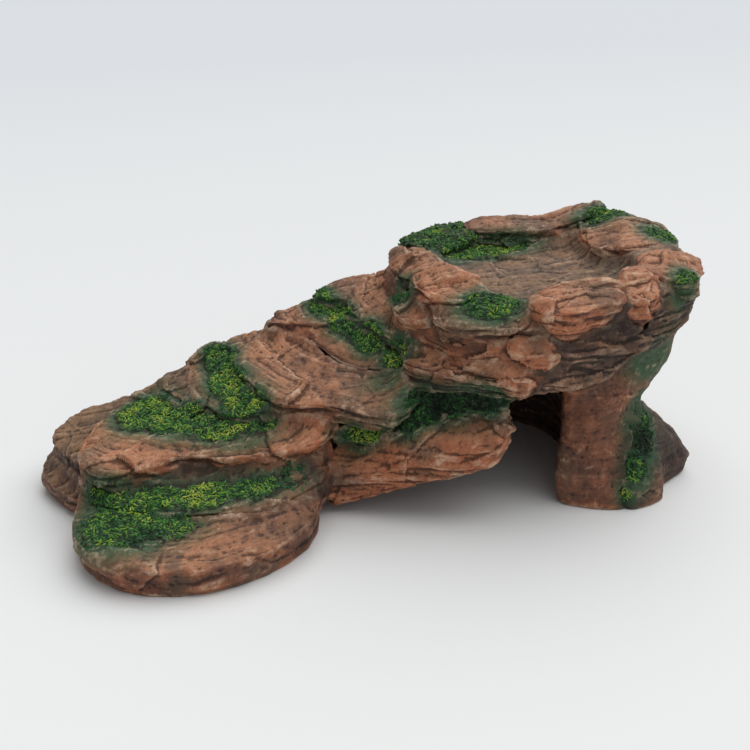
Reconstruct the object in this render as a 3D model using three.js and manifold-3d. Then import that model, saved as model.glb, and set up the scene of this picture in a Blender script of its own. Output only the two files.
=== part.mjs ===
// A basking ramp and cave ornament for a turtle tank or fish tank, cast in resin and sculpted as
// stacked slabs of red rock. A stepped ramp climbs from the tank floor at the left to a round deck
// with a shallow dish. The deck stands on a pillar, an end wall and a rear wall, and the space under
// it is a cave that is open at the front.
//
// Millimetres, +Z up. +X runs up the ramp towards the deck and +Y runs towards the closed back.
// The origin is under the middle of the ornament, on the face it stands on.
//
// Every casting is one closed body. Neighbours are bonded, so each casting is cut to fit the ones
// bedded on it, with a bond line between them.

import * as THREE from "three";
import { mergeVertices } from "three/addons/utils/BufferGeometryUtils.js";
import Module from "manifold-3d";

// ---- Driving dimensions ------------------------------------------------------------------------

const LENGTH = 267; // overall, along X
const DEPTH = 116; // overall, along Y
const HEIGHT = 100; // overall, along Z
const BOND_LINE = 0.4; // adhesive between two castings
const EDGE_RISE = 1.6; // how far a slab's top rises inside its lip
const EDGE_WIDTH = 3.2; // width of that rounded edge
const RING = 22; // points round a slab
const RING_LARGE = 28; // points round a wall, a leg or the deck

// The outlines below are drawn on a master of this size, then stretched to the driving dimensions.
const MASTER = { length: 267, depth: 116, height: 100 };
const stretch = new THREE.Vector3(
  LENGTH / MASTER.length,
  DEPTH / MASTER.depth,
  HEIGHT / MASTER.height,
);

// ---- Finishes ----------------------------------------------------------------------------------

const redRock = new THREE.MeshStandardMaterial({ color: 0x9a6249, roughness: 0.78, metalness: 0 });
const brownRock = new THREE.MeshStandardMaterial({ color: 0x5f4c3d, roughness: 0.85, metalness: 0 });
const mossRock = new THREE.MeshStandardMaterial({ color: 0x3d6b33, roughness: 0.9, metalness: 0 });

// ---- Shaping -----------------------------------------------------------------------------------

const wasm = await Module();
wasm.setup();

// The middle of an outline, in plan and in height.
function middle(outline) {
  const sum = outline.reduce((total, point) => total.add(point), new THREE.Vector3());
  return sum.divideScalar(outline.length);
}

// [x, y, z] triples on the master as stretched points, turned to run anticlockwise seen from above.
function drawn(triples) {
  const outline = triples.map(([x, y, z]) => new THREE.Vector3(x, y, z).multiply(stretch));
  if (THREE.ShapeUtils.area(outline) > 0) return outline;
  return [outline[0], ...outline.slice(1).reverse()];
}

// A closed smooth outline as evenly spaced points. Rings with the same count join point to point,
// so the outlines of one wall all start at the same corner.
function ringOf(outline, count) {
  const curve = new THREE.CatmullRomCurve3(outline, true, "catmullrom", 0.4);
  return curve.getSpacedPoints(count).slice(0, -1);
}

// A ring drawn in towards a centre by a distance, and raised.
function inset(ring, centre, distance, rise) {
  return ring.map((point) => {
    const inward = new THREE.Vector3(centre.x - point.x, centre.y - point.y, 0);
    const reach = inward.length();
    inward.multiplyScalar(Math.min(distance, reach * 0.6) / reach);
    return point.clone().add(inward).setZ(point.z + rise);
  });
}

// A ring spread outwards in plan, and raised.
function outset(ring, distance, rise) {
  return ring.map((point, i) => {
    const before = ring[(i + ring.length - 1) % ring.length];
    const after = ring[(i + 1) % ring.length];
    const outward = new THREE.Vector3(after.y - before.y, before.x - after.x, 0).normalize();
    return point.clone().addScaledVector(outward, distance).setZ(point.z + rise);
  });
}

// The closed surface through a stack of rings, from the middle of the underside to the peak. With
// `growth` it stands that much further out, which is the shape a neighbour is cut with: each level
// says how much of the growth spreads it in plan and how much lifts it.
function skin({ levels, under, peak }, growth = 0) {
  const stack = levels.map(({ ring, spread, lift }) => outset(ring, growth * spread, growth * lift));
  const count = stack[0].length;
  const low = under.clone().setZ(under.z - growth);
  const high = peak.clone().setZ(peak.z + growth);
  const points = [...stack.flat(), low, high];
  const faces = [];
  for (let i = 0; i < count; i += 1) {
    const next = (i + 1) % count;
    faces.push(points.length - 2, next, i);
    for (let level = 0; level < stack.length - 1; level += 1) {
      const base = level * count;
      const above = base + count;
      faces.push(base + i, base + next, above + next);
      faces.push(base + i, above + next, above + i);
    }
    const last = (stack.length - 1) * count;
    faces.push(last + i, last + next, points.length - 1);
  }
  const geometry = new THREE.BufferGeometry().setFromPoints(points);
  geometry.setIndex(faces);
  return geometry;
}

// A slab of rock. `lip` is its widest line, `thickness` is measured down from the lip, the underside
// is drawn in by `undercut`, and the middle of the top stands `crown` above the lip's mean height.
// A slab with `ground` stands on the floor instead.
function slab({ lip, thickness, undercut = 3, crown = 3, count = RING, ground = false }) {
  const outline = drawn(lip);
  const centre = middle(outline);
  const edge = ringOf(outline, count);
  const foot = inset(edge, centre, undercut, -thickness);
  if (ground) foot.forEach((point) => point.setZ(0));
  const under = centre.clone().setZ(ground ? 0 : centre.z - thickness);
  const belly = edge.map((point, i) => {
    const share = point.clone().lerp(foot[i], 0.34);
    return share.setZ((point.z + foot[i].z) / 2);
  });
  const shoulder = inset(edge, centre, EDGE_WIDTH, EDGE_RISE);
  const peak = centre.clone().setZ(centre.z + crown);
  const top = shoulder.map((point) => point.clone().lerp(peak, 0.55));
  const levels = [
    { ring: foot, spread: 1, lift: -1 },
    { ring: belly, spread: 1, lift: 0 },
    { ring: edge, spread: 1, lift: 0 },
    { ring: shoulder, spread: 0, lift: 1 },
    { ring: top, spread: 0, lift: 1 },
  ];
  return { levels, under, peak };
}

// A wall, a leg or a mass through outlines stacked from the bottom up. Each outline keeps its own
// middle, so the shape can lean.
function column({ sections, crown = 0, count = RING_LARGE }) {
  const outlines = sections.map(drawn);
  const last = outlines.length - 1;
  const levels = outlines.map((outline, i) => ({
    ring: ringOf(outline, count),
    spread: 1,
    lift: Number(i === last) - Number(i === 0),
  }));
  const under = middle(outlines[0]);
  const peak = middle(outlines[last]);
  peak.setZ(peak.z + crown);
  return { levels, under, peak };
}

// The air under the ramp. It is taken out of the ramp's core, so the cave has a rising roof.
const cave = column({
  crown: 9,
  sections: [
    [[-33, -34, -5], [0, -62, -5], [34, -74, -5], [66, -78, -5], [90, -62, -5], [92, -20, -5],
      [90, 58, -5], [40, 62, -5], [0, 60, -5], [-34, 56, -5], [-36, 0, -5]],
    [[-33, -34, 9], [0, -62, 13], [34, -74, 28], [66, -78, 46], [88, -62, 56], [90, -20, 58],
      [88, 58, 56], [40, 62, 46], [0, 60, 32], [-34, 56, 17], [-36, 0, 13]],
  ],
});

// ---- The castings, from the floor up -----------------------------------------------------------
// Each one gives way to every later one that it touches.

const castings = [
  {
    name: "front_foot_rock",
    finish: redRock,
    shape: slab({
      lip: [
        [-121, -8, 12], [-123, -22, 12], [-121, -34, 12], [-114, -46, 11], [-105, -54, 10],
        [-94, -59, 10], [-81, -61, 10], [-68, -60, 10], [-55, -56, 11], [-42, -48, 12],
        [-33, -37, 13], [-26, -10, 14], [-30, 18, 15], [-44, 36, 15], [-70, 40, 15],
        [-96, 34, 15], [-112, 14, 14],
      ],
      thickness: 12, undercut: 1.5, crown: 4, ground: true, count: RING_LARGE,
    }),
  },
  {
    name: "rear_foot_low",
    finish: brownRock,
    shape: slab({
      lip: [
        [-132, 34, 9], [-131, 24, 8], [-127, 14, 8], [-120, 4, 8], [-104, 2, 9],
        [-92, 20, 12], [-96, 42, 13], [-108, 51, 13], [-124, 47, 12],
      ],
      thickness: 9, undercut: 2, crown: 4, ground: true,
    }),
  },
  {
    name: "rear_wall",
    finish: brownRock,
    shape: column({
      sections: [
        [[-40, 38, 0], [0, 41, 0], [50, 42, 0], [92, 38, 0], [96, 48, 0], [60, 54, 0], [20, 55, 0],
          [-20, 54, 0], [-44, 50, 0]],
        [[-44, 36, 16], [0, 40, 18], [50, 41, 20], [92, 36, 22], [96, 46, 22], [60, 52, 20],
          [20, 53, 18], [-20, 52, 18], [-48, 49, 16]],
        [[-46, 34, 28], [0, 38, 36], [50, 38, 46], [92, 34, 48], [96, 43, 48], [60, 49, 46],
          [20, 50, 40], [-20, 50, 34], [-50, 47, 28]],
        [[-46, 34, 33], [0, 38, 50], [50, 38, 63], [92, 34, 65], [96, 43, 65], [60, 48, 64],
          [20, 49, 56], [-20, 49, 42], [-50, 46, 33]],
      ],
    }),
  },
  {
    name: "end_wall",
    finish: brownRock,
    shape: column({
      sections: [
        [[87, -14, 0], [87, 0, 0], [86, 15, 0], [78, 26, 0], [75, 36, 0], [104, 45, 0],
         [116, 38, 0],
          [122, 20, 0], [121, 0, 0], [116, -12, 0], [104, -18, 0]],
        [[84, -12, 20], [85, 2, 20], [84, 16, 20], [77, 26, 20], [74, 35, 20], [102, 42, 20],
         [112, 35, 20],
          [117, 20, 20], [116, 0, 20], [112, -12, 20], [100, -16, 20]],
        [[80, -10, 44], [81, 4, 44], [80, 17, 44], [76, 26, 44], [74, 34, 44], [100, 38, 44],
         [108, 32, 44],
          [113, 18, 44], [114, 0, 44], [111, -12, 44], [98, -16, 44]],
        [[76, -10, 66], [76, 4, 66], [76, 18, 66], [75, 28, 66], [76, 34, 66], [100, 38, 66],
         [112, 30, 66],
          [118, 16, 66], [118, 0, 66], [114, -12, 66], [98, -17, 66]],
      ],
    }),
  },
  {
    name: "pillar_foot",
    finish: brownRock,
    shape: column({
      crown: 3,
      sections: [
        [[86, -56, 0], [94, -58, 0], [105, -55, 0], [109, -47, 0], [117, -42, 0], [126, -37, 0],
          [127, -27, 0], [121, -15, 0], [108, -9, 0], [94, -14, 0], [90, -32, 0]],
        [[88, -54, 7], [95, -56, 7], [105, -53, 7], [109, -46, 7], [118, -42, 7], [129, -37, 7],
          [128, -28, 7], [119, -16, 7], [107, -11, 7], [94, -16, 7], [90, -32, 7]],
        [[90, -48, 18], [96, -49, 18], [103, -47, 18], [109, -43, 18], [118, -39, 18],
          [122, -34, 18], [120, -26, 18], [112, -18, 18], [104, -14, 18], [95, -18, 18],
          [91, -32, 18]],
        [[95, -40, 27], [98, -41, 28], [102, -41, 28], [107, -39, 28], [110, -36, 28],
          [112, -31, 28], [110, -24, 28], [107, -20, 28], [103, -18, 28], [98, -20, 27],
          [95, -30, 27]],
      ],
    }),
  },
  {
    name: "front_pillar",
    finish: redRock,
    shape: column({
      sections: [
        [[64, -43, 0], [69, -49, 0], [77, -54, 0], [85, -57, 0], [91, -54, 0], [93, -42, 0],
          [92, -30, 0], [90, -19, 0], [82, -21, 0], [73, -30, 0]],
        [[63, -42, 12], [68, -47, 12], [76, -50, 12], [83, -50, 12], [88, -45, 12], [91, -36, 12],
          [91, -26, 12], [88, -18, 12], [80, -21, 12], [71, -30, 12]],
        [[67, -37, 34], [73, -42, 34], [80, -43, 34], [88, -42, 34], [97, -37, 34],
          [106, -29, 34], [104, -18, 34], [95, -12, 34], [84, -16, 34], [73, -27, 34]],
        [[68, -32, 50], [75, -36, 50], [86, -37, 50], [102, -36, 50], [115, -31, 50],
          [119, -25, 50], [112, -15, 50], [98, -11, 50], [84, -14, 50], [73, -23, 50]],
        [[67, -30, 66], [75, -33, 66], [88, -34, 66], [107, -33, 66], [120, -29, 66],
          [123, -22, 66], [115, -13, 66], [98, -9, 66], [82, -12, 66], [71, -20, 66]],
      ],
    }),
  },
  {
    name: "front_foot_ledge",
    finish: redRock,
    shape: slab({
      lip: [
        [-119, -6, 17], [-112, -15, 16], [-101, -22, 16], [-91, -28, 16], [-77, -34, 16],
        [-63, -37, 16], [-53, -39, 17], [-41, -36, 18], [-29, -30, 20], [-21, -8, 22],
        [-26, 20, 23], [-42, 38, 22], [-70, 41, 22], [-96, 34, 22], [-112, 12, 20],
      ],
      thickness: 6, undercut: 2, crown: 4, count: RING_LARGE,
    }),
  },
  {
    name: "rear_foot_high",
    finish: brownRock,
    shape: slab({
      lip: [
        [-127, 36, 19], [-122, 45, 21], [-112, 49, 24], [-100, 49, 27], [-84, 46, 29],
        [-74, 34, 29], [-82, 12, 28], [-100, 2, 24], [-116, 8, 20], [-123, 22, 19],
      ],
      thickness: 10, undercut: 3, crown: 3,
    }),
  },
  {
    name: "ramp_core",
    finish: brownRock,
    hollow: cave,
    shape: column({
      sections: [
        [[38, -38, 24], [20, -32, 20], [2, -24, 18], [-14, -14, 18], [-26, 2, 20], [-30, 24, 20],
          [-26, 40, 20], [6, 44, 22], [38, 42, 26], [45, 10, 26], [44, -20, 26]],
        [[39, -42, 39], [22, -37, 35], [3, -28, 30], [-16, -16, 28], [-30, 2, 28], [-38, 24, 28],
          [-32, 42, 28], [8, 46, 36], [40, 44, 44], [46, 10, 46], [45, -22, 43]],
        [[38, -38, 50], [24, -30, 46], [8, -20, 40], [-10, -10, 36], [-26, 4, 33], [-38, 24, 33],
          [-32, 41, 35], [8, 45, 50], [38, 44, 58], [44, 10, 60], [43, -20, 56]],
        [[34, -26, 56], [22, -18, 52], [9, -8, 46], [-8, 0, 42], [-20, 10, 39], [-30, 22, 38],
          [-28, 37, 40], [10, 40, 60], [34, 40, 64], [38, 10, 66], [38, -16, 62]],
      ],
    }),
  },
  {
    name: "ramp_lip",
    finish: redRock,
    shape: slab({
      lip: [
        [-31, -15, 13], [-28, -22, 13], [-18, -26, 16], [-9, -31, 19], [-1, -35, 22],
        [14, -42, 27], [27, -47, 31], [36, -49, 35], [42, -45, 38], [42, -24, 40],
        [16, -10, 39], [-6, -6, 32], [-18, -8, 22],
      ],
      thickness: 10, undercut: 3.5, crown: 8,
    }),
  },
  {
    name: "ramp_slab_1",
    finish: redRock,
    shape: slab({
      lip: [
        [-116, 5, 28], [-117, -5, 27], [-114, -11, 26], [-107, -14, 26], [-98, -12, 26],
        [-86, -10, 27], [-77, -11, 27], [-69, -15, 28], [-59, -18, 28], [-50, -18, 29],
        [-40, -23, 30], [-30, -22, 31], [-20, -12, 34], [-14, 8, 37], [-20, 32, 38],
        [-44, 46, 37], [-68, 47, 36], [-88, 43, 33], [-104, 30, 30],
      ],
      thickness: 8, undercut: 4, crown: 4, count: RING_LARGE,
    }),
  },
  {
    name: "ramp_slab_2",
    finish: brownRock,
    shape: slab({
      lip: [
        [-82, 34, 36], [-80, 42, 38], [-70, 46, 40], [-58, 44, 42], [-54, 30, 43],
        [-60, 12, 40], [-68, 8, 37], [-76, 18, 36],
      ],
      thickness: 6, undercut: 2, crown: 2.5,
    }),
  },
  {
    name: "ramp_slab_3",
    finish: redRock,
    shape: slab({
      lip: [
        [-68, 43, 43], [-62, 48, 46], [-49, 51, 49], [-34, 49, 51], [-16, 42, 53],
        [-12, 20, 50], [-26, -2, 44], [-40, -5, 41], [-51, -5, 39], [-61, -1, 38],
        [-67, 9, 39], [-69, 26, 41],
      ],
      thickness: 7, undercut: 3, crown: 3,
    }),
  },
  {
    name: "ramp_slab_4",
    finish: redRock,
    shape: slab({
      lip: [
        [-49, 31, 50], [-52, 20, 48], [-48, 4, 46], [-42, -10, 44], [-29, -14, 44],
        [-19, -20, 44], [-12, -25, 43], [-4, -30, 42], [4, -29, 43], [9, -22, 46],
        [13, -8, 51], [12, 18, 56], [-8, 38, 57], [-30, 42, 55],
      ],
      thickness: 8, undercut: 3.5, crown: 2,
    }),
  },
  {
    name: "ramp_slab_5",
    finish: redRock,
    shape: slab({
      lip: [
        [-36, 38, 58], [-30, 33, 57], [-20, 22, 56], [-16, 9, 54], [-10, 1, 52],
        [-2, -6, 51], [7, -10, 52], [17, -8, 58], [22, 20, 66], [10, 47, 66],
        [-12, 49, 62], [-28, 46, 60],
      ],
      thickness: 7, undercut: 4, crown: 4,
    }),
  },
  {
    name: "ramp_slab_6",
    finish: redRock,
    shape: slab({
      lip: [
        [-13, 42, 67], [-10, 34, 68], [-2, 28, 68], [8, 23, 69], [20, 26, 72],
        [22, 43, 72], [10, 48, 71], [-4, 48, 70],
      ],
      thickness: 6, undercut: 2.5, crown: 3,
    }),
  },
  {
    name: "ramp_slab_7",
    finish: redRock,
    shape: slab({
      lip: [
        [-3, 28, 68], [-3, 18, 66], [3, 5, 63], [8, -8, 61], [16, -15, 60], [25, -18, 60],
        [32, -14, 63], [36, 2, 72], [36, 26, 76], [20, 38, 76], [6, 37, 72],
      ],
      thickness: 8, undercut: 3.5, crown: 3,
    }),
  },
  {
    name: "deck_base",
    finish: brownRock,
    shape: column({
      crown: -1.5,
      sections: [
        [[46, -40, 51], [56, -43, 51], [67, -43, 48], [80, -42, 52], [93, -39, 60],
          [110, -34, 62], [121, -20, 62], [121, 8, 61], [104, 30, 60], [68, 43, 60],
          [36, 42, 60], [30, 20, 58], [34, -18, 54]],
        [[47, -45, 55], [57, -48, 54], [68, -47, 52], [82, -46, 56], [95, -43, 64],
          [114, -38, 66], [129, -22, 68], [128, 10, 67], [109, 34, 66], [70, 48, 66],
          [36, 47, 66], [28, 24, 64], [32, -16, 60]],
        [[45, -36, 66], [56, -43, 66], [68, -45, 66], [84, -45, 67], [98, -42, 70],
          [119, -36, 74], [132, -20, 76], [131, 10, 76], [114, 36, 76], [70, 51, 76],
          [36, 49, 75], [23, 24, 74], [28, -14, 70]],
        [[42, -28, 78], [54, -35, 80], [68, -38, 80], [84, -38, 80], [98, -36, 81],
          [119, -31, 83], [129, -16, 85], [128, 10, 86], [113, 34, 86], [70, 49, 85],
          [36, 46, 84], [20, 24, 82], [24, -14, 79]],
      ],
    }),
  },
  {
    name: "deck_strata_bottom",
    finish: redRock,
    shape: slab({
      lip: [
        [6, -16, 58], [12, -25, 58], [20, -34, 59], [30, -41, 59], [39, -47, 59],
        [47, -48, 58], [52, -42, 58], [46, -26, 59], [28, -12, 60], [12, -8, 59],
      ],
      thickness: 9, undercut: 4, crown: 3,
    }),
  },
  {
    name: "deck_strata_middle",
    finish: redRock,
    shape: slab({
      lip: [
        [16, -14, 66], [22, -25, 66], [30, -33, 66], [40, -40, 67], [48, -46, 67],
        [55, -49, 67], [58, -42, 68], [48, -26, 70], [32, -8, 71], [20, -6, 69],
      ],
      thickness: 7, undercut: 3, crown: 3,
    }),
  },
  {
    name: "rim_front_ledge",
    finish: redRock,
    shape: slab({
      lip: [
        [16, -23, 77], [20, -31, 76], [28, -34, 76], [42, -38, 76], [52, -42, 76],
        [56, -38, 77], [56, -24, 80], [40, -14, 81], [22, -12, 80],
      ],
      thickness: 8, undercut: 3, crown: 3,
    }),
  },
  {
    name: "rim_front_stone",
    finish: redRock,
    shape: slab({
      lip: [
        [50, -36, 84], [51, -43, 83], [60, -48, 83], [71, -48, 84], [80, -47, 85],
        [87, -41, 87], [86, -34, 88], [70, -28, 88], [56, -28, 86],
      ],
      thickness: 13, undercut: 6, crown: 2.5,
    }),
  },
  {
    name: "rim_corner_stone",
    finish: redRock,
    shape: slab({
      lip: [
        [87, -34, 87], [87, -42, 84], [94, -45, 84], [101, -43, 85], [105, -36, 87],
        [104, -24, 89], [94, -22, 89],
      ],
      thickness: 14, undercut: 4, crown: 3,
    }),
  },
  {
    name: "rim_right_stone",
    finish: redRock,
    shape: slab({
      lip: [
        [102, -22, 89], [104, -29, 88], [110, -35, 86], [119, -37, 86], [128, -31, 86],
        [133, -20, 87], [132, -8, 88], [118, -11, 90], [107, -14, 90],
      ],
      thickness: 14, undercut: 5, crown: 3,
    }),
  },
  {
    name: "rim_back_right_stone",
    finish: redRock,
    shape: slab({
      lip: [
        [99, 4, 89], [103, -6, 90], [114, -10, 90], [130, -8, 90], [135, 4, 90],
        [132, 18, 92], [122, 30, 94], [108, 32, 93], [100, 20, 90],
      ],
      thickness: 12, undercut: 5, crown: 4,
    }),
  },
  {
    name: "rim_back_stone",
    finish: redRock,
    shape: slab({
      lip: [
        [53, 38, 90], [58, 46, 92], [72, 47, 92], [86, 44, 92], [98, 41, 94], [110, 39, 97],
        [118, 35, 98], [118, 30, 97], [108, 25, 95], [94, 25, 92], [80, 28, 91], [66, 31, 90],
      ],
      thickness: 9, undercut: 3, crown: 1.5,
    }),
  },
  {
    name: "rim_back_moss_stone",
    finish: mossRock,
    shape: slab({
      lip: [
        [22, 34, 87], [28, 44, 88], [42, 49, 89], [58, 48, 90], [60, 36, 88], [44, 28, 86],
        [28, 24, 86],
      ],
      thickness: 6, undercut: 2.5, crown: 2,
    }),
  },
  {
    name: "rim_left_stone",
    finish: redRock,
    shape: slab({
      lip: [
        [14, 22, 83], [18, 32, 86], [25, 35, 87], [33, 27, 87], [34, 12, 86], [27, 6, 85],
        [17, 10, 82],
      ],
      thickness: 8, undercut: 2, crown: 2,
    }),
  },
  {
    name: "rim_left_chip",
    finish: redRock,
    shape: slab({
      lip: [
        [10, 6, 76], [18, 2, 78], [22, -8, 77], [20, -15, 75], [12, -12, 73], [8, -4, 73],
      ],
      thickness: 6, undercut: 2, crown: 2,
    }),
  },
  {
    name: "rim_left_wedge",
    finish: redRock,
    shape: slab({
      lip: [
        [18, 5, 86], [30, 6, 89], [36, -2, 88], [42, -11, 86], [34, -19, 83], [26, -23, 82],
        [18, -17, 82], [16, -6, 84],
      ],
      thickness: 9, undercut: 3, crown: 2,
    }),
  },
];

// ---- Fitting -----------------------------------------------------------------------------------

// A geometry as a closed solid with its shared points merged.
function solidOf(geometry) {
  const bare = geometry.clone();
  bare.deleteAttribute("normal");
  bare.deleteAttribute("uv");
  const merged = mergeVertices(bare, 1e-4);
  return new wasm.Manifold(
    new wasm.Mesh({
      numProp: 3,
      vertProperties: merged.attributes.position.array,
      triVerts: new Uint32Array(merged.index.array),
    }),
  );
}

// The largest body left after cutting: crumbs that a cut leaves are dropped.
function largestBody(solid) {
  return solid.decompose().reduce((a, b) => (b.volume() > a.volume() ? b : a));
}

function geometryOf(solid) {
  const mesh = solid.getMesh();
  const points = new Float32Array(mesh.numVert * 3);
  for (let i = 0; i < mesh.numVert; i += 1) {
    points.set(mesh.vertProperties.subarray(i * mesh.numProp, i * mesh.numProp + 3), i * 3);
  }
  const geometry = new THREE.BufferGeometry();
  geometry.setAttribute("position", new THREE.BufferAttribute(points, 3));
  geometry.setIndex(new THREE.BufferAttribute(mesh.triVerts, 1));
  geometry.computeVertexNormals();
  return geometry;
}

const cutters = castings.map(({ shape }) => solidOf(skin(shape, BOND_LINE)));
const ornament = new THREE.Group();
castings.forEach(({ name, finish, shape, hollow }, i) => {
  const whole = solidOf(skin(shape));
  const cast = hollow ? whole.subtract(solidOf(skin(hollow))) : whole;
  const bedded = cutters.slice(i + 1).reduce((body, cutter) => body.subtract(cutter), cast);
  const mesh = new THREE.Mesh(geometryOf(largestBody(bedded)), finish);
  mesh.name = name;
  ornament.add(mesh);
});

// The origin goes under the middle of the ornament, on the floor.
const box = new THREE.Box3().setFromObject(ornament);
const centre = box.getCenter(new THREE.Vector3());
ornament.children.forEach((mesh) => mesh.position.set(-centre.x, -centre.y, -box.min.z));

export default ornament;
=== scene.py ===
# %% [markdown]
# # A resin cave ornament
# The real object is one painted casting that a turtle or lizard climbs and hides in. It imitates
# slabs of red rock stacked into a ramp, with a cave below and moss in the corners. The CAD model
# holds the size and the place of each sculpted stone. This file gives the stones their weathered
# surface, their paint and their moss.

# %% Load the fixed frame
import math

import bpy
import numpy as np
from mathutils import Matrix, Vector


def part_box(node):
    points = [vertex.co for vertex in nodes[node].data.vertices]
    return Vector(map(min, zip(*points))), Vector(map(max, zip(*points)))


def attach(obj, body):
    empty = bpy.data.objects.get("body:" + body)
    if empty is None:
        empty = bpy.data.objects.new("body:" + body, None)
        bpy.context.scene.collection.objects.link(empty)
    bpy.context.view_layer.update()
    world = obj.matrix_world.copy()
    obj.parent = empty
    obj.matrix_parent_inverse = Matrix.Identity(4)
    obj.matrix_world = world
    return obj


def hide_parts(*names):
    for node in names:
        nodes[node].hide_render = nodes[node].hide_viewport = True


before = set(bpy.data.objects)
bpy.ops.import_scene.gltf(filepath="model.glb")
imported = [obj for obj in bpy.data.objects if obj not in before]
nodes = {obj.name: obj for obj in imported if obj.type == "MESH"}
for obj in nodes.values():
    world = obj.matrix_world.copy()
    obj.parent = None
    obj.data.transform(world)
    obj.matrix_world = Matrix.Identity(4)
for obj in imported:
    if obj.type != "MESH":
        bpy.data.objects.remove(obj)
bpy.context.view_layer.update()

MM = 0.001
print("stones in the frame:", len(nodes))

# %% [markdown]
# ## Camera
# The camera stands in front and a little to the left, and looks down on the ramp at about
# 25 degrees. A lens of about 49 mm keeps the near foot from looking too large.

# %% Set up the camera
CAMERA_AT = Vector((-116.9, -354.6, 221.7)) * MM
LOOK_AT = Vector((3.5, 16.0, 40.0)) * MM

bpy.ops.object.select_all(action="DESELECT")
bpy.ops.object.camera_add(location=CAMERA_AT)
camera = bpy.context.object
camera.rotation_euler = (LOOK_AT - CAMERA_AT).to_track_quat("-Z", "Y").to_euler()
camera.data.lens = 49.44
camera.data.clip_start = 0.01
bpy.context.scene.camera = camera
print("camera distance in mm:", round((LOOK_AT - CAMERA_AT).length / MM))

# %% [markdown]
# ## Floor and light
# A small resin ornament is shown on a plain pale sheet under a large soft light. The light hangs
# above, to the right and a little behind, so tops are bright, front faces are darker, and the
# shadow in front of the cave is soft. The pale surroundings fill in the rest.

# %% Lay the floor and hang the lights
FLOOR_WIDTH = 8.0  # m
# painted shade: over this depth the floor colour darkens towards the back, as the light falls off
FADE_FROM, FADE_TO = -0.3, 1.2  # m, the depth over which the sheet dims
ROOM_LIGHT = 0.30
SOFT_LIGHTS = [  # name, direction it comes from, spread in degrees, strength
    ("overhead_softbox", (0.45, 0.26, 1.0), 80, 2.55),
    ("front_fill", (0.2, -1.0, 0.6), 60, 0.15),
]


def paint(code):
    """Turns an sRGB hex code such as "#8d5a45" into the linear colour that shaders use."""
    values = [int(code[i:i + 2], 16) / 255 for i in (1, 3, 5)]
    return [v / 12.92 if v <= 0.04045 else ((v + 0.055) / 1.055) ** 2.4 for v in values] + [1.0]


def put(tree, kind, links=None, out=0, **settings):
    """Adds a node with its settings, sets or joins its inputs, and returns one of its outputs."""
    node = tree.nodes.new(kind)
    for name, value in settings.items():
        setattr(node, name, value)
    for key, value in (links or {}).items():
        if isinstance(value, bpy.types.NodeSocket):
            tree.links.new(value, node.inputs[key])
        else:
            node.inputs[key].default_value = value
    return node.outputs[out]


SMOOTH = {"interpolation_type": "SMOOTHSTEP"}  # for a Map Range that eases in and out


def blank_material(name):
    """Makes a material with an empty node tree and returns it with the tree."""
    material = bpy.data.materials.new(name)
    material.use_nodes = True
    material.node_tree.nodes.clear()
    return material, material.node_tree


def finish_material(tree, links, normal=None):
    """Closes a material with one Principled shader and its output."""
    shader = put(tree, "ShaderNodeBsdfPrincipled", links)
    if normal is not None:
        tree.links.new(normal, shader.node.inputs["Normal"])
    end = tree.nodes.new("ShaderNodeOutputMaterial")
    tree.links.new(shader, end.inputs["Surface"])


bpy.ops.object.select_all(action="DESELECT")
bpy.ops.mesh.primitive_plane_add(size=FLOOR_WIDTH, location=(0, 0, 0))
floor = bpy.context.object
floor.name = "paper_floor"
paper, tree = blank_material("matt white paper")
floor_at = put(tree, "ShaderNodeTexCoord", out=3)
depth = put(tree, "ShaderNodeSeparateXYZ", {0: floor_at}, out=1)
# painted shade: the sheet is painted darker from front to back, where less light falls
painted_falloff = put(tree, "ShaderNodeMapRange", {"Value": depth, "From Min": FADE_FROM,
           "From Max": FADE_TO})
paper_and_painted_falloff = put(tree, "ShaderNodeMix", {0: painted_falloff, 6: paint("#eff0ee"), 7: paint("#dcdfe2")}, out=2,
           data_type="RGBA")
finish_material(tree, {"Base Color": paper_and_painted_falloff, "Roughness": 0.9, "Specular IOR Level": 0.2})
floor.data.materials.append(paper)

world = bpy.data.worlds.new("pale room")
bpy.context.scene.world = world
world.use_nodes = True
room = world.node_tree.nodes["Background"].inputs
room["Color"].default_value = paint("#eef0f4")
room["Strength"].default_value = ROOM_LIGHT

bpy.ops.object.select_all(action="DESELECT")
for name, source, spread, strength in SOFT_LIGHTS:
    bpy.ops.object.light_add(type="SUN", location=Vector(source))
    lamp = bpy.context.object
    lamp.name = name
    lamp.rotation_euler = Vector(source).to_track_quat("Z", "Y").to_euler()
    lamp.data.angle = math.radians(spread)
    lamp.data.energy = strength
bpy.context.scene.view_settings.view_transform = "Standard"
print("lights:", [name for name, *rest in SOFT_LIGHTS])

# %% [markdown]
# ## Where the moss grows
# The sculptor pressed moss into the corners between stones and onto a few ledges. Each patch is
# written down as an ellipsoid: its centre, its three radii and how thick the moss is. Chains of
# ellipsoids make the curved bands that follow a stone's foot. The last number makes a patch
# yellower, for the tips that were brushed with yellow.

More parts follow.
